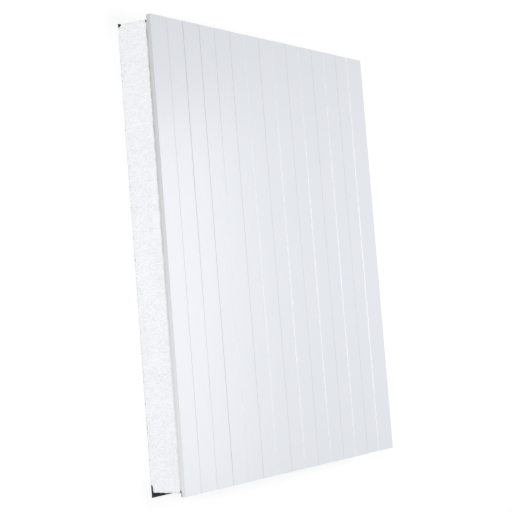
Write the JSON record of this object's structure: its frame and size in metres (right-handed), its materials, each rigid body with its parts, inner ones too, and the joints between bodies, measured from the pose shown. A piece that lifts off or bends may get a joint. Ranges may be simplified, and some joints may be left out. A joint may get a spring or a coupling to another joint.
{
  "type": "insulated sandwich panel",
  "caption": "Insulated wall panel: a bead foam block glued between a flat steel sheet and a lined steel tray whose long edges are folded down over the foam.",
  "frame": {"origin": "middle of the underside, where the panel lies on its inner facing", "axes": "+X across the width, +Y along the length towards the head end, +Z out through the thickness to the lined outer facing"},
  "size_m": [1.2, 1.557, 0.15],
  "materials": {
    "outer_paint": "satin off-white coil coating",
    "inner_paint": "satin off-white coil coating, dark grey backing coat on the glued side",
    "bead_foam": "matt white expanded bead foam, wire cut"
  },
  "bodies": {
    "root": {"outer_facing": "outer_paint", "inner_facing": "inner_paint", "foam_core": "bead_foam"}
  },
  "joints": []
}
